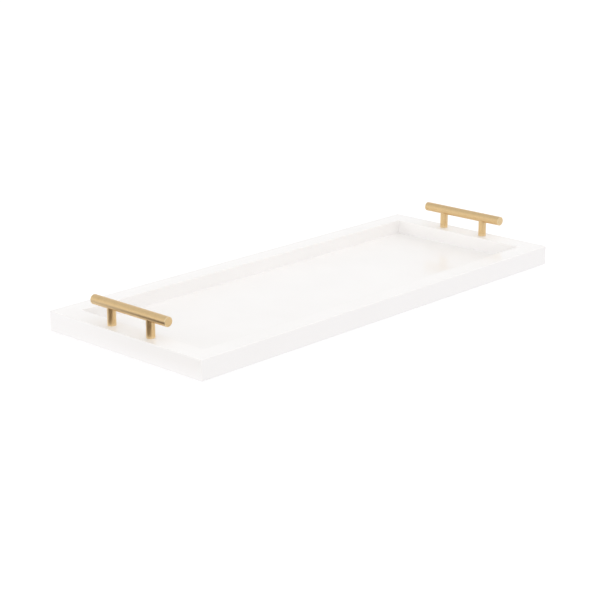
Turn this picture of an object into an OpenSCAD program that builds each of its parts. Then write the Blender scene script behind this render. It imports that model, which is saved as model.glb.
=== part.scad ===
// Dresser vanity tray: a white lacquered tray with a rectangular well and two
// gold bar pulls on its end rims. Millimetres, +Z up, +X along the tray.
// The origin is on the surface the tray stands on, under the tray's centre.

/* [Tray] */
// Outside length of the tray
tray_l = 610; // [400:1:800]
// Outside width of the tray
tray_w = 250; // [200:1:400]
// Height of the tray's body, without its pads
body_h = 24; // [20:0.5:40]
// Width of the rim at each short end
end_rim = 27; // [24:0.5:40]
// Width of the rim along each long side
side_rim = 25; // [24:0.5:40]
// Thickness of the base panel, which is set flush with the underside
panel_t = 6; // [4:0.5:7]
// How far the panel reaches under each rail
rabbet_w = 6; // [4:0.5:6.5]
// Rounding of the rim's top edges
edge_r = 1; // [0.5:0.1:2]

/* [Bar pulls] */
// Distance between the two posts of a pull
post_spacing = 64; // [64, 76, 96, 128]
// How far the grip bar runs on past the centre of each post
bar_overhang = 29; // [15:0.5:40]
// Diameter of the grip bar
bar_d = 11.5; // [11:0.5:16]
// Diameter of each post
post_d = 10; // [8:0.5:10.5]
// Height of the bar's axis above the rim
bar_rise = 24; // [23:0.5:40]
// Chamfer round each end of the bar
bar_chamfer = 0.6; // [0.3:0.1:1.5]

/* [Fasteners] */
// How far each mounting screw reaches up into its post
screw_reach = 6.2; // [5:0.2:8]
// Length of the stud that joins a post to the bar
stud_l = 12; // [8:1:12]
// Depth of the counterbore for the screw's head
cbore_depth = 6; // [5:0.5:7]

/* [Foot pads] */
// Diameter of each pad
pad_d = 12; // [8:1:16]
// Thickness of each pad
pad_t = 2; // [1:0.5:4]
// Distance from the tray's outer faces to a pad's centre
pad_inset = 14; // [9:1:40]

/* [Hidden] */
$fn = 64;
// Overshoot that keeps a cut from ending on the face it opens
cut = 1;

base_z = pad_t;
rim_z = base_z + body_h;
bar_z = rim_z + bar_rise;
bar_foot_z = bar_z - bar_d / 2;
bar_l = post_spacing + 2 * bar_overhang;
pull_x = tray_l / 2 - end_rim / 2;
well_l = tray_l - 2 * end_rim;
well_w = tray_w - 2 * side_rim;
foot_chamfer = 0.5;

// M4 coarse thread, turned as plain rings
thread_r = 2;
thread_root_r = 1.6;
thread_pitch = 0.7;
tapped_r = thread_r + 0.05;
clearance_r = 2.25;
blind_spare = 0.5;

washer_r = 4.5;
washer_t = 0.8;
head_r = 4;
head_h = 2.6;
head_dome_r = 8;
recess_l = 4.2;
recess_w = 1.1;
recess_depth = 1.5;
socket_af = 2;
socket_depth = 2;
cbore_r = washer_r + 0.5;
seat_z = base_z + cbore_depth - washer_t;
screw_l = rim_z + screw_reach - seat_z;

// A loose spline crosses each mitre halfway between the panel and the rim
spline_along = 16;
spline_across = 14;
spline_t = 3;
spline_z = base_z + (panel_t + body_h) / 2;
mitre_angle = atan2(side_rim, end_rim);

brad_r = 0.6;
brad_l = 14;
brad_set = 0.5;
brad_z = base_z + brad_set;
brads_per_side = 4;
brads_per_end = 2;

lacquer = "#F5F5F3";
gold = "#DCBC8F";
steel = "#B4B6B8";
beech = "#D9B98A";
felt = "#DADAD6";

ends = [["left", -1], ["right", 1]];
sides = [["front", -1], ["back", 1]];
// Each corner: its name, then the signs of its x and y
corners = [for (e = ends) for (s = sides) [str(e[0], "_", s[0]), e[1], s[1]]];
corner_pieces = ["spline", "post", "stud", "screw", "washer", "pad"];

// Middle of a stretch of n equal steps along a length
function step_at(length, n, i) = length * ((i + 0.5) / n - 0.5);

brad_places = concat(
    [for (s = [-1, 1]) for (i = [0:brads_per_side - 1])
        [step_at(well_l, brads_per_side, i), s * (well_w + rabbet_w) / 2]],
    [for (s = [-1, 1]) for (i = [0:brads_per_end - 1])
        [s * (well_l + rabbet_w) / 2, step_at(well_w, brads_per_end, i)]]
);

// Outline of a thread from z = 0 upwards, on the +X side of its axis
function thread_side(length) =
    [for (i = [0:floor(length / thread_pitch) - 1]) each [
        [thread_root_r, i * thread_pitch],
        [thread_r, (i + 0.4) * thread_pitch],
        [thread_r, (i + 0.6) * thread_pitch]
    ]];

// Solid threaded rod standing on z = 0, with a flat top
module threaded_rod(length) {
    turns_top = floor(length / thread_pitch) * thread_pitch;
    rotate_extrude()
        polygon(concat(
            [[0, 0]],
            thread_side(length),
            [[thread_root_r, turns_top], [thread_root_r, length], [0, length]]
        ));
}

// Cross-section of a rail: outer face at x = 0, rim on top, rabbet inside
module rail_profile(width) {
    difference() {
        union() {
            square([width, body_h - edge_r]);
            translate([edge_r, 0]) square([width - 2 * edge_r, body_h]);
            for (x = [edge_r, width - edge_r])
                translate([x, body_h - edge_r]) circle(edge_r);
        }
        translate([width - rabbet_w, -cut]) square([rabbet_w + cut, panel_t + cut]);
        polygon([[-cut, -cut], [foot_chamfer + cut, -cut], [-cut, foot_chamfer + cut]]);
    }
}

// Rail along X with its outer face on y = 0, cut to a mitre at both ends
module mitred_rail(length, width, end_cut) {
    intersection() {
        rotate([90, 0, 90])
            linear_extrude(length, center = true)
                rail_profile(width);
        linear_extrude(body_h)
            polygon([
                [-length / 2, 0],
                [length / 2, 0],
                [length / 2 - end_cut, width],
                [-length / 2 + end_cut, width]
            ]);
    }
}

module spline_block(sx, sy) {
    translate([sx * pull_x, sy * (tray_w - side_rim) / 2, spline_z])
        rotate([0, 0, sx * sy * mitre_angle])
            cube([spline_along, spline_across, spline_t], center = true);
}

module brad_pins() {
    for (place = brad_places)
        translate([place[0], place[1], brad_z])
            cylinder(h = brad_l, r = brad_r);
}

// Everything milled or driven into the rails at the corners and along the panel
module rail_cuts() {
    for (c = corners)
        spline_block(c[1], c[2]);
    brad_pins();
}

// Screw clearance and counterbore under each post of one pull
module pull_cuts(sx) {
    for (s = [-1, 1])
        translate([sx * pull_x, s * post_spacing / 2, base_z]) {
            translate([0, 0, -cut]) cylinder(h = cbore_depth + cut, r = cbore_r);
            cylinder(h = body_h + cut, r = clearance_r);
        }
}

module side_rail(sy) {
    color(lacquer)
        difference() {
            rotate([0, 0, sy > 0 ? 180 : 0])
                translate([0, -tray_w / 2, base_z])
                    mitred_rail(tray_l, side_rim, end_rim);
            rail_cuts();
        }
}

module end_rail(sx) {
    color(lacquer)
        difference() {
            rotate([0, 0, sx * 90])
                translate([0, -tray_l / 2, base_z])
                    mitred_rail(tray_w, end_rim, side_rim);
            rail_cuts();
            pull_cuts(sx);
        }
}

module front_rail() { side_rail(-1); }

module back_rail() { side_rail(1); }

module left_end_rail() { end_rail(-1); }

module right_end_rail() { end_rail(1); }

module base_panel() {
    color(lacquer)
        difference() {
            translate([0, 0, base_z + panel_t / 2])
                cube([well_l + 2 * rabbet_w, well_w + 2 * rabbet_w, panel_t], center = true);
            brad_pins();
        }
}

module panel_brads() {
    color(steel) brad_pins();
}

module spline(sx, sy) {
    color(beech) spline_block(sx, sy);
}

// Plain round bar on the pull's axis, without its tapped holes
module bar_blank(sx) {
    translate([sx * pull_x, 0, bar_z])
        rotate([90, 0, 0])
            rotate_extrude()
                polygon([
                    [0, -bar_l / 2],
                    [bar_d / 2 - bar_chamfer, -bar_l / 2],
                    [bar_d / 2, -bar_l / 2 + bar_chamfer],
                    [bar_d / 2, bar_l / 2 - bar_chamfer],
                    [bar_d / 2 - bar_chamfer, bar_l / 2],
                    [0, bar_l / 2]
                ]);
}

module grip_bar(sx) {
    color(gold)
        difference() {
            bar_blank(sx);
            for (s = [-1, 1])
                translate([sx * pull_x, s * post_spacing / 2, bar_foot_z - cut])
                    cylinder(h = cut + stud_l / 2 + blind_spare, r = tapped_r);
        }
}

module left_grip_bar() { grip_bar(-1); }

module right_grip_bar() { grip_bar(1); }

// Post with its top coped to the bar and tapped right through
module post(sx, sy) {
    color(gold)
        difference() {
            translate([sx * pull_x, sy * post_spacing / 2, rim_z])
                cylinder(h = bar_rise, r = post_d / 2);
            bar_blank(sx);
            translate([sx * pull_x, sy * post_spacing / 2, rim_z - cut])
                cylinder(h = bar_rise + cut, r = tapped_r);
        }
}

// Grub screw, half in the post and half in the bar, with its socket downwards
module stud(sx, sy) {
    color(steel)
        translate([sx * pull_x, sy * post_spacing / 2, bar_foot_z - stud_l / 2])
            difference() {
                threaded_rod(stud_l);
                translate([0, 0, -cut])
                    cylinder(h = socket_depth + cut, d = socket_af / cos(30), $fn = 6);
            }
}

// Domed head below z = 0, with a cross recess
module pan_head() {
    difference() {
        intersection() {
            translate([0, 0, -head_h]) cylinder(h = head_h, r = head_r);
            translate([0, 0, head_dome_r - head_h]) sphere(head_dome_r);
        }
        for (turn = [0, 90])
            rotate([0, 0, turn])
                translate([-recess_l / 2, -recess_w / 2, -head_h - cut])
                    cube([recess_l, recess_w, recess_depth + cut]);
    }
}

module screw(sx, sy) {
    color(steel)
        translate([sx * pull_x, sy * post_spacing / 2, seat_z]) {
            pan_head();
            threaded_rod(screw_l);
        }
}

module washer(sx, sy) {
    color(steel)
        translate([sx * pull_x, sy * post_spacing / 2, seat_z])
            difference() {
                cylinder(h = washer_t, r = washer_r);
                translate([0, 0, -cut]) cylinder(h = washer_t + 2 * cut, r = clearance_r);
            }
}

module pad(sx, sy) {
    color(felt)
        translate([sx * (tray_l / 2 - pad_inset), sy * (tray_w / 2 - pad_inset), 0])
            cylinder(h = pad_t, d = pad_d);
}

front_rail();
back_rail();
left_end_rail();
right_end_rail();
base_panel();
panel_brads();
left_grip_bar();
right_grip_bar();
for (c = corners) {
    spline(c[1], c[2]);
    post(c[1], c[2]);
    stud(c[1], c[2]);
    screw(c[1], c[2]);
    washer(c[1], c[2]);
    pad(c[1], c[2]);
}
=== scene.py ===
"""Looks of the dresser vanity tray: white lacquered body, brushed gold pulls, felt pads.

Lengths are metres in the frame's own axes: +X along the tray, +Z up, the surface it
stands on at z = 0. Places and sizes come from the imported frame's nodes.
"""

import math

import bpy
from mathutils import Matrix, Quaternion, Vector, geometry, noise


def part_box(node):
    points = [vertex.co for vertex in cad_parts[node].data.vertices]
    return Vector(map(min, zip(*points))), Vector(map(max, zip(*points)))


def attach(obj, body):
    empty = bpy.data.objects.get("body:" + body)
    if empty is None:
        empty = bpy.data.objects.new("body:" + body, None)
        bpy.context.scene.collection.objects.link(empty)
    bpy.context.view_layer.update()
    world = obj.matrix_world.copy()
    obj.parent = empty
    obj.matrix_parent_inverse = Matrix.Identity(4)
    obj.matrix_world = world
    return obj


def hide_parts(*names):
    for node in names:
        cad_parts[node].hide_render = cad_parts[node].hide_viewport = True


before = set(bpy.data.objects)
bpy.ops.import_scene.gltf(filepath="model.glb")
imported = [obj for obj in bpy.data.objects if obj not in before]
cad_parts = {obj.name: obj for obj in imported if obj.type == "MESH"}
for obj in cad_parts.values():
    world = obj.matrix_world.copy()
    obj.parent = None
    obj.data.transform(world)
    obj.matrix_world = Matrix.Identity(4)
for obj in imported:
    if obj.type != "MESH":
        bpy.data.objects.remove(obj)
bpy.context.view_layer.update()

MM = 0.001
UP = Vector((0, 0, 1))

# ---------------------------------------------------------------- sizes from the frame
front_lo, front_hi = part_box("front_rail")
end_lo, end_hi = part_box("left_end_rail")
panel_lo, panel_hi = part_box("base_panel")

HALF_L = front_hi.x
HALF_W = -front_lo.y
BASE_Z = front_lo.z
RIM_Z = front_hi.z
END_RIM = end_hi.x - end_lo.x
SIDE_RIM = front_hi.y - front_lo.y
FLOOR_Z = panel_hi.z
WELL_L = HALF_L - END_RIM
WELL_W = HALF_W - SIDE_RIM
RABBET = panel_hi.x - WELL_L

CORNERS = [f"{end}_{side}" for end in ("left", "right") for side in ("front", "back")]

# Softened edges of the lacquered boards
RIM_ROUND = 1.0 * MM
FOOT_ROUND = 0.5 * MM
CORNER_ROUND = 1.3 * MM
WELL_CORNER = 0.6 * MM
FLOOR_FILLET = 0.8 * MM
LEAST_CORNER = 0.05 * MM
PANEL_EASE = 0.25 * MM
RABBET_CORNER = 0.3 * MM

# Screw holes in the end rails
BORE_R = 2.25 * MM
COUNTERBORE_R = 5.0 * MM
HOLE_STEPS = 48

# How finely curves are divided
ARC_STEPS = 6
POST_ARC_STEPS = 4
CORNER_STEPS = 8
LATHE_STEPS = 96

# ---------------------------------------------------------------- camera
VIEW_AZIMUTH = math.radians(-46.60)
VIEW_ELEVATION = math.radians(17.13)
VIEW_ROLL = math.radians(-0.14)
VIEW_DISTANCE = 1.990
VIEW_LENS_MM = 99.33
SENSOR_WIDTH_MM = 36.0
VIEW_AIM = Vector((-0.0261, -0.0017, BASE_Z))


def add_camera():
    back = Vector(
        (
            math.sin(VIEW_AZIMUTH) * math.cos(VIEW_ELEVATION),
            -math.cos(VIEW_AZIMUTH) * math.cos(VIEW_ELEVATION),
            math.sin(VIEW_ELEVATION),
        )
    )
    data = bpy.data.cameras.new("camera")
    data.lens = VIEW_LENS_MM
    data.sensor_width = SENSOR_WIDTH_MM
    camera = bpy.data.objects.new("camera", data)
    camera.location = VIEW_AIM + VIEW_DISTANCE * back
    upright = back.to_track_quat("Z", "Y")
    camera.rotation_euler = (upright @ Quaternion((0, 0, 1), VIEW_ROLL)).to_euler()
    bpy.context.scene.collection.objects.link(camera)
    bpy.context.scene.camera = camera


# ---------------------------------------------------------------- node helpers
class Nodes:
    """A node tree, with short ways to add and join its nodes."""

    def __init__(self, tree):
        self.tree = tree

    def add(self, kind, settings=None, **inputs):
        node = self.tree.nodes.new(kind)
        for key, value in (settings or {}).items():
            setattr(node, key, value)
        for key, value in inputs.items():
            self.feed(value, node.inputs[key.replace("_", " ")])
        return node

    def feed(self, value, socket):
        if isinstance(value, bpy.types.NodeSocket):
            self.tree.links.new(value, socket)
        else:
            socket.default_value = value

    def place(self):
        return self.add("ShaderNodeTexCoord").outputs["Object"]

    def attribute(self, name):
        node = self.add("ShaderNodeAttribute", {"attribute_name": name})
        return node.outputs["Fac"]

    def maths(self, operation, a, b=0.0):
        node = self.add("ShaderNodeMath", {"operation": operation})
        self.feed(a, node.inputs[0])
        self.feed(b, node.inputs[1])
        return node.outputs[0]

    def speckle(self, scale, detail=2.0, roughness=0.5, vector=None):
        node = self.add(
            "ShaderNodeTexNoise",
            Vector=vector or self.place(),
            Scale=scale,
            Detail=detail,
            Roughness=roughness,
        )
        return node.outputs["Fac"]

    def spread(self, value, low, high, start=0.3, stop=0.7):
        """value, taken from start..stop to low..high."""
        node = self.add("ShaderNodeMapRange")
        node.clamp = True
        self.feed(value, node.inputs["Value"])
        node.inputs["From Min"].default_value = start
        node.inputs["From Max"].default_value = stop
        node.inputs["To Min"].default_value = low
        node.inputs["To Max"].default_value = high
        return node.outputs["Result"]

    def blend(self, share, a, b):
        node = self.add("ShaderNodeMix", {"data_type": "RGBA"})
        self.feed(share, node.inputs["Factor"])
        self.feed(a, node.inputs["A"])
        self.feed(b, node.inputs["B"])
        return node.outputs["Result"]

    def bump(self, height, depth, normal=None):
        """Bump whose height runs from 0 to 1 over depth metres."""
        node = self.add("ShaderNodeBump", Height=height, Strength=1.0, Distance=depth)
        if normal is not None:
            self.feed(normal, node.inputs["Normal"])
        return node.outputs["Normal"]


class Material(Nodes):
    """A new material, with its Principled shader."""

    def __init__(self, name):
        self.material = bpy.data.materials.new(name)
        self.material.use_nodes = True
        super().__init__(self.material.node_tree)
        self.shader = self.tree.nodes["Principled BSDF"]

    def shade(self, **inputs):
        for key, value in inputs.items():
            self.feed(value, self.shader.inputs[key.replace("_", " ")])


# ---------------------------------------------------------------- materials
# How fast the gold's noise changes along the turned outline, per metre
FINE_LINES = 4500.0
BROAD_BANDS = 900.0
# How far the felt's fibres stray
FELT_TANGLE = 2.0 * MM


def lacquer_material():
    """Sprayed white gloss lacquer: an even coat with a faint orange peel and fine hazing."""
    n = Material("white_lacquer")
    cloud = n.speckle(14.0, detail=3.0)
    tone = n.blend(
        n.spread(cloud, 0.0, 1.0), (0.915, 0.902, 0.895, 1), (0.935, 0.923, 0.917, 1)
    )
    thin = n.spread(n.attribute("edge"), 0.0, 0.5, start=0.0, stop=1.0)
    tone = n.blend(thin, tone, (0.89, 0.876, 0.862, 1))
    peel = n.speckle(330.0, detail=1.0)
    nibs = n.spread(n.speckle(2600.0, detail=0.0), 0.0, 1.0, start=0.76, stop=0.84)
    skin = n.bump(peel, 0.012 * MM)
    haze = n.speckle(60.0, detail=4.0, roughness=0.65)
    n.shade(
        Base_Color=tone,
        Roughness=n.spread(haze, 0.30, 0.42),
        Normal=n.bump(nibs, 0.004 * MM, skin),
        Specular_IOR_Level=0.3,
        Coat_Weight=0.5,
        Coat_Roughness=0.14,
        Coat_IOR=1.5,
    )
    n.feed(n.bump(peel, 0.006 * MM), n.shader.inputs["Coat Normal"])
    return n.material


def brushed_gold(name, axis):
    """Satin gold turned under an abrasive belt, so its fine lines run round the axis.

    The mesh attribute "turn" is the distance along the turned outline, and the
    attribute "edge" is 1 on the eased edges.
    """
    n = Material(name)
    turn = n.attribute("turn")
    lines = n.add(
        "ShaderNodeTexNoise",
        {"noise_dimensions": "4D"},
        Vector=n.place(),
        W=n.maths("MULTIPLY", turn, FINE_LINES),
        Scale=55.0,
        Detail=4.0,
        Roughness=0.7,
    ).outputs["Fac"]
    bands = n.add(
        "ShaderNodeTexNoise",
        {"noise_dimensions": "4D"},
        Vector=n.place(),
        W=n.maths("MULTIPLY", turn, BROAD_BANDS),
        Scale=25.0,
        Detail=2.0,
    ).outputs["Fac"]
    stain = n.speckle(160.0, detail=3.0)
    colour = n.blend(
        n.spread(lines, 0.0, 1.0), (0.703, 0.487, 0.238, 1), (0.881, 0.653, 0.354, 1)
    )
    colour = n.blend(
        n.spread(stain, 0.0, 0.35, start=0.5, stop=0.8), colour, (0.693, 0.465, 0.214, 1)
    )
    worn = n.spread(n.attribute("edge"), 0.0, 0.6, start=0.0, stop=1.0)
    colour = n.blend(worn, colour, (0.93, 0.76, 0.48, 1))
    rough = n.maths("ADD", n.spread(lines, 0.26, 0.40), n.spread(bands, -0.03, 0.04))
    n.shade(
        Base_Color=colour,
        Metallic=1.0,
        Roughness=rough,
        Anisotropic=0.55,
        Anisotropic_Rotation=0.25,
        Tangent=n.add(
            "ShaderNodeTangent", {"direction_type": "RADIAL", "axis": axis}
        ).outputs["Tangent"],
        Normal=n.bump(lines, 0.010 * MM),
    )
    return n.material


def zinc_material():
    """Bright zinc plating with a faint blue-yellow bloom and tumbling marks."""
    n = Material("zinc_steel")
    bloom = n.speckle(420.0, detail=2.0)
    marks = n.speckle(3200.0, detail=4.0, roughness=0.7)
    n.shade(
        Base_Color=n.blend(
            n.spread(bloom, 0.0, 1.0), (0.56, 0.57, 0.60, 1), (0.68, 0.66, 0.60, 1)
        ),
        Metallic=1.0,
        Roughness=n.spread(marks, 0.22, 0.42),
        Normal=n.bump(marks, 0.006 * MM),
    )
    return n.material


def beech_material():
    """Plain beech with short flecks along the spline's length."""
    n = Material("beech")
    stretched = n.add("ShaderNodeMapping", Vector=n.place(), Scale=(90.0, 420.0, 900.0))
    grain = n.speckle(1.0, detail=5.0, vector=stretched.outputs["Vector"])
    n.shade(
        Base_Color=n.blend(
            n.spread(grain, 0.0, 1.0), (0.45, 0.28, 0.15, 1), (0.66, 0.46, 0.27, 1)
        ),
        Roughness=n.spread(grain, 0.7, 0.85),
        Normal=n.bump(grain, 0.05 * MM),
    )
    return n.material


def felt_material():
    """Pressed pale wool felt: tangled short fibres and flecks of darker wool."""
    n = Material("felt")
    warp = n.add("ShaderNodeTexNoise", Vector=n.place(), Scale=900.0, Detail=2.0)
    tangle = n.add("ShaderNodeVectorMath", {"operation": "MULTIPLY_ADD"})
    n.feed(warp.outputs["Color"], tangle.inputs[0])
    n.feed((FELT_TANGLE, FELT_TANGLE, FELT_TANGLE), tangle.inputs[1])
    n.feed(n.place(), tangle.inputs[2])
    fibres = n.speckle(
        5200.0, detail=3.0, roughness=0.7, vector=tangle.outputs["Vector"]
    )
    flecks = n.spread(n.speckle(1700.0, detail=1.0), 0.0, 0.7, start=0.62, stop=0.75)
    wool = n.blend(
        n.spread(fibres, 0.0, 1.0), (0.42, 0.41, 0.39, 1), (0.66, 0.65, 0.62, 1)
    )
    n.shade(
        Base_Color=n.blend(flecks, wool, (0.26, 0.25, 0.24, 1)),
        Roughness=0.95,
        Sheen_Weight=0.35,
        Sheen_Roughness=0.5,
        Normal=n.bump(fibres, 0.15 * MM),
    )
    return n.material


# ---------------------------------------------------------------- mesh building
class Skin:
    """Faces with a normal and attribute values at every corner, joined where they meet."""

    MERGE = 1e-7

    def __init__(self):
        self.points = []
        self.index = {}
        self.faces = []
        self.normals = []
        self.values = {"edge": {}, "turn": {}}

    def vertex(self, point, values):
        key = tuple(round(c / self.MERGE) for c in point)
        if key not in self.index:
            self.index[key] = len(self.points)
            self.points.append(Vector(point))
        place = self.index[key]
        for name, value in values.items():
            self.values[name][place] = value
        return place

    def face(self, corners):
        """corners are (point, normal, values); the winding follows the normals."""
        ids, normals = [], []
        for point, normal, values in corners:
            place = self.vertex(point, values)
            if place not in ids:
                ids.append(place)
                normals.append(normal)
        if len(ids) < 3:
            return
        flat = geometry.normal([self.points[i] for i in ids])
        if flat.dot(sum(normals, Vector())) < 0:
            ids.reverse()
            normals.reverse()
        self.faces.append(ids)
        self.normals.extend(normals)

    def grid(self, rows):
        """Quads between neighbouring rows of corners."""
        for upper, lower in zip(rows, rows[1:]):
            for i in range(len(upper) - 1):
                self.face([upper[i], upper[i + 1], lower[i + 1], lower[i]])

    def flat(self, outlines, normal, values):
        """A flat face with holes: outlines are lists of points, the outer one first."""
        points = [p for outline in outlines for p in outline]
        for triple in geometry.tessellate_polygon(outlines):
            self.face([(points[i], normal, values) for i in triple])

    def piece(self, name, material):
        mesh = bpy.data.meshes.new(name)
        mesh.from_pydata(self.points, [], self.faces)
        mesh.shade_smooth()
        for attribute, known in self.values.items():
            if known:
                layer = mesh.attributes.new(attribute, "FLOAT", "POINT")
                for place, value in known.items():
                    layer.data[place].value = value
        mesh.normals_split_custom_set(self.normals)
        mesh.materials.append(material)
        obj = bpy.data.objects.new(name, mesh)
        bpy.context.scene.collection.objects.link(obj)
        return obj


def adopt(piece, slot, *nodes):
    """The piece rides on the tray and stands for CAD nodes, which it hides. slot is not used.
    """
    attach(piece, "root")
    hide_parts(*nodes)


# ---------------------------------------------------------------- tray body
def quarter(steps=ARC_STEPS):
    """Angles from 0 to 90 degrees."""
    return [math.pi / 2 * i / steps for i in range(steps + 1)]


def full_turn(steps):
    """Angles once round, the last the same as the first so that the ends join."""
    return [2 * math.pi * (i % steps) / steps for i in range(steps + 1)]


def sideways(angle):
    return Vector((math.cos(angle), math.sin(angle), 0))


class Ring:
    """One line of the frame's cross-section, carried round the tray as a rounded rectangle."""

    def __init__(self, half_l, half_w, radius, z, out, up, edge=0.0):
        self.half_l, self.half_w, self.radius = half_l, half_w, radius
        self.z, self.out, self.up, self.edge = z, out, up, edge

    def corner(self, quadrant, steps):
        """The ring's points round one corner: quadrant 0 is +X +Y, then anticlockwise."""
        points = []
        middle = math.pi / 2 * quadrant + math.pi / 4
        centre_x = math.copysign(self.half_l - self.radius, math.cos(middle))
        centre_y = math.copysign(self.half_w - self.radius, math.sin(middle))
        for step in steps:
            angle = math.pi / 2 * (quadrant + step / CORNER_STEPS)
            side = sideways(angle)
            point = Vector((centre_x, centre_y, self.z)) + self.radius * side
            normal = (self.out * side + self.up * UP).normalized()
            points.append((point, normal, {"edge": self.edge}))
        return points

    def along(self, quadrant):
        """The ring from the middle of one corner to the middle of the next."""
        half = CORNER_STEPS // 2
        first = self.corner(quadrant, range(half, CORNER_STEPS + 1))
        return first + self.corner(quadrant + 1, range(half + 1))


def outer_ring(inset, z, out, up, edge=0.0):
    return Ring(HALF_L - inset, HALF_W - inset, CORNER_ROUND - inset, z, out, up, edge)


def inner_ring(offset, z, out, up, edge=0.0):
    radius = max(WELL_CORNER + offset, LEAST_CORNER)
    return Ring(WELL_L + offset, WELL_W + offset, radius, z, out, up, edge)


def rabbet_ring(z):
    """The rabbet's wall, which faces the panel's edge."""
    return Ring(WELL_L + RABBET, WELL_W + RABBET, RABBET_CORNER, z, -1, 0)


def outside_rings():
    """Up the outer face: eased foot, face, rounded top."""
    rings = []
    for a in quarter():
        inset = FOOT_ROUND * (1 - math.sin(a))
        z = BASE_Z + FOOT_ROUND * (1 - math.cos(a))
        rings.append(outer_ring(inset, z, math.sin(a), -math.cos(a), edge=1.0))
    for a in quarter():
        inset = RIM_ROUND * (1 - math.cos(a))
        z = RIM_Z - RIM_ROUND * (1 - math.sin(a))
        rings.append(outer_ring(inset, z, math.cos(a), math.sin(a), edge=1.0))
    return rings


def inside_rings():
    """Down into the well: rounded top, wall, and the lacquer's fillet on to the floor."""
    rings = []
    for a in quarter():
        offset = RIM_ROUND * (1 - math.sin(a))
        z = RIM_Z - RIM_ROUND * (1 - math.cos(a))
        rings.append(inner_ring(offset, z, -math.sin(a), math.cos(a), edge=1.0))
    for a in quarter():
        offset = -FLOOR_FILLET * (1 - math.cos(a))
        z = FLOOR_Z + FLOOR_FILLET * (1 - math.sin(a))
        rings.append(inner_ring(offset, z, -math.cos(a), math.sin(a)))
    return rings


def ring_points(ring, quadrant):
    return [point for point, _, _ in ring.along(quadrant)]


def circle(centre, radius, z):
    level = Vector((centre.x, centre.y, z))
    return [level + radius * sideways(angle) for angle in full_turn(HOLE_STEPS)[:-1]]


def hole_wall(skin, centre, radius, low, high):
    """The inside of a round hole, facing its axis."""
    rows = []
    for z in (low, high):
        row = []
        for point in circle(centre, radius, z):
            inward = Vector((centre.x - point.x, centre.y - point.y, 0)).normalized()
            row.append((point, inward, {"edge": 0.0}))
        rows.append(row + row[:1])
    skin.grid(rows)


def lacquered_rail(name, quadrant, material, screws=(), seat_z=None):
    """A rail from mitre to mitre, starting at the given corner of the tray."""
    skin = Skin()
    outside, inside = outside_rings(), inside_rings()
    rabbet = [rabbet_ring(FLOOR_Z), rabbet_ring(BASE_Z)]
    for rings in (outside, inside, rabbet):
        skin.grid([ring.along(quadrant) for ring in rings])

    # Flat faces: the rim and the underside, with their screw holes, and the rabbet's top
    level = {"edge": 0.0}
    rim = ring_points(outside[-1], quadrant) + ring_points(inside[0], quadrant)[::-1]
    skin.flat([rim] + [circle(c, BORE_R, RIM_Z) for c in screws], UP, level)
    foot = ring_points(outside[0], quadrant) + ring_points(rabbet[-1], quadrant)[::-1]
    skin.flat([foot] + [circle(c, COUNTERBORE_R, BASE_Z) for c in screws], -UP, level)
    top = ring_points(inside[-1], quadrant) + ring_points(rabbet[0], quadrant)[::-1]
    skin.flat([top], -UP, level)

    # Mitred ends
    section = outside + inside + rabbet
    for end, sign in ((0, -1), (-1, 1)):
        outline = [ring.along(quadrant)[end][0] for ring in section]
        across = outline[len(outside)] - outline[0]
        outward = Vector((-across.y, across.x, 0)).normalized()
        run = rim[len(rim) // 2 - 1] - rim[0]
        outward *= sign * math.copysign(1, outward.dot(run))
        skin.flat([outline], outward, level)

    for centre in screws:
        hole_wall(skin, centre, COUNTERBORE_R, BASE_Z, seat_z)
        seat = [circle(centre, r, seat_z) for r in (COUNTERBORE_R, BORE_R)]
        skin.flat(seat, -UP, level)
        hole_wall(skin, centre, BORE_R, seat_z, RIM_Z)
    piece = skin.piece(f"lacquered_{name}", material)
    adopt(piece, "white_lacquer", name)


def screw_centres(end):
    """Places of one pull's screws, and the height of the seat above their heads."""
    centres = []
    for side in ("front", "back"):
        low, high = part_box(f"{end}_{side}_washer")
        centres.append((low + high) / 2)
    return centres, high.z


def lacquered_panel(material):
    """The base panel, with its lower edge eased where it meets the rails."""
    skin = Skin()
    level = {"edge": 0.0}
    lines = [
        (0.0, FLOOR_Z, 1, 0),
        (0.0, BASE_Z + PANEL_EASE, 1, 0),
        (PANEL_EASE, BASE_Z, 0, -1),
    ]
    rings = []
    for inset, z, out, up in lines:
        corner = RABBET_CORNER + PANEL_EASE - inset
        rings.append(Ring(panel_hi.x - inset, panel_hi.y - inset, corner, z, out, up))
    for quadrant in range(4):
        skin.grid([ring.along(quadrant) for ring in rings])
    for ring, normal in ((rings[0], UP), (rings[-1], -UP)):
        outline = [p for q in range(4) for p in ring_points(ring, q)[:-1]]
        skin.flat([outline], normal, level)
    piece = skin.piece("lacquered_base_panel", material)
    adopt(piece, "white_lacquer", "base_panel")


def build_tray():
    lacquer = lacquer_material()
    left, left_seat = screw_centres("left")
    right, right_seat = screw_centres("right")
    lacquered_rail("back_rail", 0, lacquer)
    lacquered_rail("left_end_rail", 1, lacquer, left, left_seat)
    lacquered_rail("front_rail", 2, lacquer)
    lacquered_rail("right_end_rail", 3, lacquer, right, right_seat)
    lacquered_panel(lacquer)


# ---------------------------------------------------------------- pulls
BAR_EDGE = 0.6 * MM
POST_EASE = 0.25 * MM
COPE_LINE = 0.15 * MM
# Where the rows of faces run: out from an end disc's middle, along the bar from its
# middle, up a post, and out from the middle of its coped top
DISC_ROWS = (0.0, 0.25, 0.5, 0.75, 0.97)
BAR_ROWS = (0.98, 0.6, 0.2, -0.2, -0.6, -0.98)
POST_ROWS = (0.2, 0.5, 0.8)
COPE_ROWS = (0.6, 0.3, 0.0)


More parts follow.
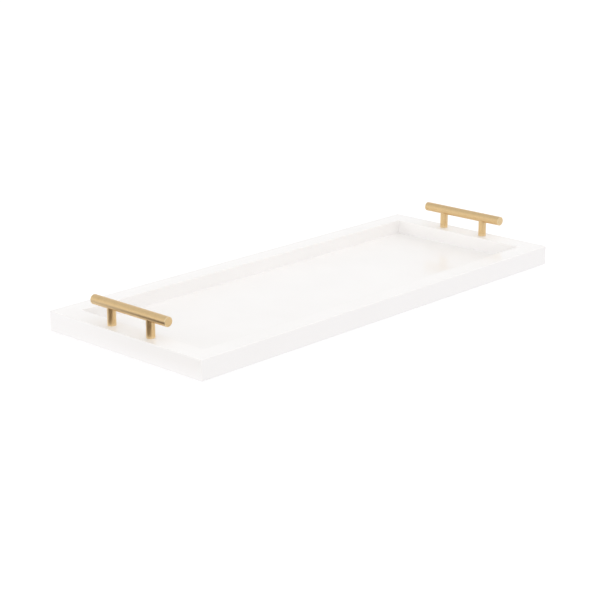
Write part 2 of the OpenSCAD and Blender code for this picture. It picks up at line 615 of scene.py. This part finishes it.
def turned_rows(outline, place):
    """Rows of corners round an axis.

    The outline holds (distance along the axis, radius, axial and radial parts of the
    normal, edge); place(along, radius, angle) gives a point, and the same function
    turns a normal when it is asked from the axis's own zero.
    """
    rows, turn, last = [], 0.0, outline[0]
    for along, radius, axial, radial, edge in outline:
        turn += math.hypot(along - last[0], radius - last[1])
        last = (along, radius)
        row = []
        for angle in full_turn(LATHE_STEPS):
            normal = place(axial, radial, angle) - place(0, 0, angle)
            values = {"turn": turn, "edge": edge}
            row.append((place(along, radius, angle), normal.normalized(), values))
        rows.append(row)
    return rows


def grip_bar(end, material):
    """A solid round bar along Y, its ends faced flat with a small rounded edge."""
    node = f"{end}_grip_bar"
    low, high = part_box(node)
    centre = (low + high) / 2
    half, radius = (high.y - low.y) / 2, (high.x - low.x) / 2

    def place(along, out, angle):
        return centre + Vector((out * math.cos(angle), along, out * math.sin(angle)))

    flat = radius - BAR_EDGE
    tip = [
        (half - BAR_EDGE * (1 - math.cos(a)), flat + BAR_EDGE * math.sin(a), a)
        for a in quarter()
    ]
    right = [(y, r, math.cos(a), math.sin(a), 1.0) for y, r, a in tip]
    disc = [(half, flat * share, 1, 0, 0.0) for share in DISC_ROWS]
    side = [(half * share, radius, 0, 1, 0.0) for share in BAR_ROWS]
    far = [(-y, r, -axial, radial, edge) for y, r, axial, radial, edge in disc + right]
    skin = Skin()
    skin.grid(turned_rows(disc + right + side + far[::-1], place))
    piece = skin.piece(f"brushed_{node}", material)
    adopt(piece, "brushed_gold", node)
    return centre, radius


def post(corner, material, bar_centre, bar_radius):
    """A round post from the rim to the bar, its top coped to the bar's curve."""
    node = f"{corner}_post"
    low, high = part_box(node)
    centre = (low + high) / 2
    radius = (high.x - low.x) / 2

    def cope(out, angle):
        aside = out * math.cos(angle)
        return bar_centre.z - math.sqrt(bar_radius**2 - aside**2)

    def ring(out, height, normal, turn, edge):
        row = []
        for angle in full_turn(LATHE_STEPS):
            side = sideways(angle)
            z = height(angle)
            point = Vector((centre.x, centre.y, z)) + out * side
            values = {"turn": turn(z), "edge": edge}
            row.append((point, (normal[0] * side + normal[1] * UP).normalized(), values))
        return row

    def level(z):
        return lambda angle: z

    def coped(out, drop=0.0):
        return lambda angle: cope(out, angle) - drop

    def part_way(share):
        return lambda angle: low.z + (cope(radius, angle) - low.z) * share

    def rise(z):
        return z - low.z

    def foot_turn(z):
        return radius

    inner = radius - COPE_LINE
    rows = [
        ring(out, level(low.z), (0, -1), foot_turn, 0.0) for out in (0, radius - POST_EASE)
    ]
    rows += [
        ring(
            radius - POST_EASE * (1 - math.sin(a)),
            level(low.z + POST_EASE * (1 - math.cos(a))),
            (math.sin(a), -math.cos(a)),
            rise,
            1.0,
        )
        for a in quarter(POST_ARC_STEPS)
    ]
    rows += [ring(radius, part_way(share), (1, 0), rise, 0.0) for share in POST_ROWS]
    rows += [ring(radius, coped(radius, COPE_LINE), (1, 0), rise, 0.0)]
    for share in (1.0, *COPE_ROWS):
        out = inner * share
        rows.append(ring(out, coped(out), (0, 1), rise, 0.0))
    skin = Skin()
    skin.grid(rows)
    piece = skin.piece(f"brushed_{node}", material)
    adopt(piece, "brushed_gold", node)


def build_pulls():
    bar_gold = brushed_gold("brushed_gold_bar", "Y")
    post_gold = brushed_gold("brushed_gold_post", "Z")
    for end in ("left", "right"):
        centre, radius = grip_bar(end, bar_gold)
        for side in ("front", "back"):
            post(f"{end}_{side}", post_gold, centre, radius)


# ---------------------------------------------------------------- pads and hardware
PAD_RINGS = 10
PAD_STEPS = 72
PAD_ARC_STEPS = 4
# Shares of the radius where the pad's flat underside and flat top end
PAD_FLAT_FOOT = 0.9
PAD_FLAT_TOP = 0.5
# Rounding of the edge, as a share of the thickness
PAD_SOFT = 0.18
# Depth and size of the uneven tufts round the edge
PAD_FUZZ = 0.12 * MM
PAD_TUFT = 0.9 * MM
# How far the smoothed normals lean outwards
PAD_LEAN = 0.3


def felt_pad(corner, material):
    """A punched felt disc with a soft, slightly uneven edge."""
    node = f"{corner}_pad"
    low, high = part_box(node)
    centre = (low + high) / 2
    radius, thick = (high.x - low.x) / 2, high.z - low.z
    soft = thick * PAD_SOFT
    foot = radius * PAD_FLAT_FOOT

    outline = [(foot * i / PAD_RINGS, low.z) for i in range(PAD_RINGS + 1)]
    for a in quarter(PAD_ARC_STEPS):
        outline.append((radius - soft * (1 - math.sin(a)), low.z + soft * (1 - math.cos(a))))
    for a in quarter(PAD_ARC_STEPS):
        outline.append((radius - soft * (1 - math.cos(a)), high.z - soft * (1 - math.sin(a))))
    outline += [(radius * PAD_FLAT_TOP, high.z), (0.0, high.z)]
    skin = Skin()
    rows = []
    for out, z in outline:
        row = []
        for angle in full_turn(PAD_STEPS):
            side = sideways(angle)
            point = Vector((centre.x, centre.y, z)) + out * side
            fuzz = abs(noise.noise(point / PAD_TUFT)) * PAD_FUZZ
            point -= side * fuzz * (out / radius)
            lean = Vector((0, 0, z - centre.z)) + side * out * PAD_LEAN
            row.append((point, lean.normalized(), {}))
        rows.append(row)
    skin.grid(rows)
    piece = skin.piece(f"felt_{node}", material)
    adopt(piece, "felt", node)


def build_pads():
    felt = felt_material()
    for corner in CORNERS:
        felt_pad(corner, felt)


def finish_hardware():
    """The fasteners and splines keep their CAD shapes and get their own finishes."""
    zinc, beech = zinc_material(), beech_material()
    finishes = {"panel_brads": zinc}
    for corner in CORNERS:
        finishes[f"{corner}_spline"] = beech
        for kind in ("stud", "screw", "washer"):
            finishes[f"{corner}_{kind}"] = zinc
    for node, material in finishes.items():
        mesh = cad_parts[node].data
        mesh.materials.clear()
        mesh.materials.append(material)


# ---------------------------------------------------------------- stage and light
FLOOR_HALF = 8.0
FLOOR_TONE = (0.42, 0.42, 0.42, 1)
FLOOR_GLOW = 0.65
WHITE = (1, 1, 1, 1)

# The light tent as it lights the surfaces: bright at the left, the right and the front,
# dimmer behind, overhead and below
TENT_TOP = (0.54, 0.54, 0.53, 1)
TENT_SIDE = (0.86, 0.85, 0.85, 1)
TENT_LEFT = (1.85, 1.83, 1.82, 1)
TENT_FOOT = (0.82, 0.81, 0.81, 1)
TENT_RIGHT = (2.06, 2.05, 2.03, 1)
TENT_FRONT = (1.43, 1.42, 1.41, 1)
LEFT_AIM, LEFT_EDGE = (-1, 0, 0), 0.0
FRONT_AIM, FRONT_EDGE = (0, -1, 0.6), 0.3
RIGHT_AIM, RIGHT_EDGE = (1, 0, 0.55), 0.65
HORIZON_BLUR = 0.03

# The same tent as the gloss and the metal mirror it
GLOSS_TOP = (0.68, 0.70, 0.74, 1)
GLOSS_SIDE = (1.00, 1.00, 1.00, 1)

# The floor as they mirror it, a painted reflection that only glossy rays see: pale, with a
# dark area off the tray's left front corner
MIRRORED_FLOOR = (0.93, 0.98, 1.10, 1)
MIRRORED_DARK = (0.10, 0.06, 0.03, 1)
DARK_FULL_X, DARK_CLEAR_X = -0.335, -0.318
DARK_FULL_Y, DARK_CLEAR_Y = -0.19, -0.04
DARK_SLANT = 0.57

SOFTBOX_PLACE = (-0.8, 0.3, 2.2)
SOFTBOX_WIDTH = 1.8
SOFTBOX_POWER = 1.0


def mirrored_floor(n):
    """The floor's colour in reflections, which turns dark past the left front corner."""
    along = n.add("ShaderNodeSeparateXYZ", Vector=n.place()).outputs
    slant = n.maths("ADD", along["Y"], n.maths("MULTIPLY", along["X"], DARK_SLANT))
    dark = n.maths(
        "MULTIPLY",
        n.spread(along["X"], 1.0, 0.0, start=DARK_FULL_X, stop=DARK_CLEAR_X),
        n.spread(slant, 1.0, 0.0, start=DARK_FULL_Y, stop=DARK_CLEAR_Y),
    )
    return n.blend(dark, MIRRORED_FLOOR, MIRRORED_DARK)


def floor_material():
    """Plain and pale, apart from the darker area that only reflections see."""
    n = Material("floor")
    n.shade(Base_Color=FLOOR_TONE, Roughness=0.9, Specular_IOR_Level=0.2)
    n.shade(Emission_Color=WHITE, Emission_Strength=FLOOR_GLOW)
    # Painted reflection: glossy rays see this emission, pale with a dark patch, in place of
    # the floor's own shading
    mirrored = n.add("ShaderNodeEmission", Color=mirrored_floor(n))
    choice = n.add("ShaderNodeMixShader")
    n.feed(n.add("ShaderNodeLightPath").outputs["Is Glossy Ray"], choice.inputs[0])
    n.feed(n.shader.outputs["BSDF"], choice.inputs[1])
    n.feed(mirrored.outputs["Emission"], choice.inputs[2])
    n.feed(choice.outputs["Shader"], n.tree.nodes["Material Output"].inputs["Surface"])
    n.material.cycles.emission_sampling = "NONE"
    return n.material


def add_floor():
    """A floor that neither lights nor shades the tray: TENT_FOOT stands for its bounce."""
    corners = [(-1, -1), (1, -1), (1, 1), (-1, 1)]
    points = [(x * FLOOR_HALF, y * FLOOR_HALF, 0) for x, y in corners]
    mesh = bpy.data.meshes.new("floor")
    mesh.from_pydata(points, [], [range(4)])
    mesh.materials.append(floor_material())
    floor = bpy.data.objects.new("floor", mesh)
    bpy.context.scene.collection.objects.link(floor)
    floor.visible_diffuse = False
    floor.visible_shadow = False


def facing(n, direction, aim, start, stop=1.0):
    """0 to 1 as the looked-at direction turns towards aim."""
    towards = n.add("ShaderNodeVectorMath", {"operation": "DOT_PRODUCT"})
    n.feed(direction, towards.inputs[0])
    n.feed(Vector(aim).normalized(), towards.inputs[1])
    share = n.add(
        "ShaderNodeMapRange",
        {"interpolation_type": "SMOOTHSTEP"},
        Value=towards.outputs["Value"],
        From_Min=start,
        From_Max=stop,
    )
    return share.outputs["Result"]


def add_world():
    """A white light tent, which the camera sees as plain white past the floor."""
    world = bpy.data.worlds.new("studio")
    world.use_nodes = True
    bpy.context.scene.world = world
    n = Nodes(world.node_tree)
    direction = n.add("ShaderNodeTexCoord").outputs["Generated"]
    above = facing(n, direction, UP, -HORIZON_BLUR, HORIZON_BLUR)
    height = facing(n, direction, UP, 0.0)
    side = n.blend(facing(n, direction, LEFT_AIM, LEFT_EDGE), TENT_SIDE, TENT_LEFT)
    top = n.blend(facing(n, direction, FRONT_AIM, FRONT_EDGE), TENT_TOP, TENT_FRONT)
    top = n.blend(facing(n, direction, RIGHT_AIM, RIGHT_EDGE), top, TENT_RIGHT)
    lit = n.blend(above, TENT_FOOT, n.blend(height, side, top))
    gloss = n.blend(height, GLOSS_SIDE, GLOSS_TOP)

    # Mirror rays see the gloss, unless they have left a surface as scattered light before
    path = n.add("ShaderNodeLightPath").outputs
    direct = n.maths("SUBTRACT", path["Is Glossy Ray"], path["Diffuse Depth"])
    direct.node.use_clamp = True
    seen = n.blend(path["Is Camera Ray"], n.blend(direct, lit, gloss), WHITE)
    n.feed(seen, n.tree.nodes["Background"].inputs["Color"])


def add_softbox():
    data = bpy.data.lights.new("overhead_softbox", "AREA")
    data.shape = "DISK"
    data.size = SOFTBOX_WIDTH
    data.energy = SOFTBOX_POWER
    light = bpy.data.objects.new("overhead_softbox", data)
    light.location = SOFTBOX_PLACE
    light.rotation_euler = Vector(SOFTBOX_PLACE).to_track_quat("Z", "Y").to_euler()
    bpy.context.scene.collection.objects.link(light)


def set_stage():
    add_floor()
    add_world()
    add_softbox()
    view = bpy.context.scene.view_settings
    view.view_transform = "Standard"
    view.look = "None"


# ---------------------------------------------------------------- the whole
add_camera()
build_tray()
build_pulls()
build_pads()
finish_hardware()
set_stage()
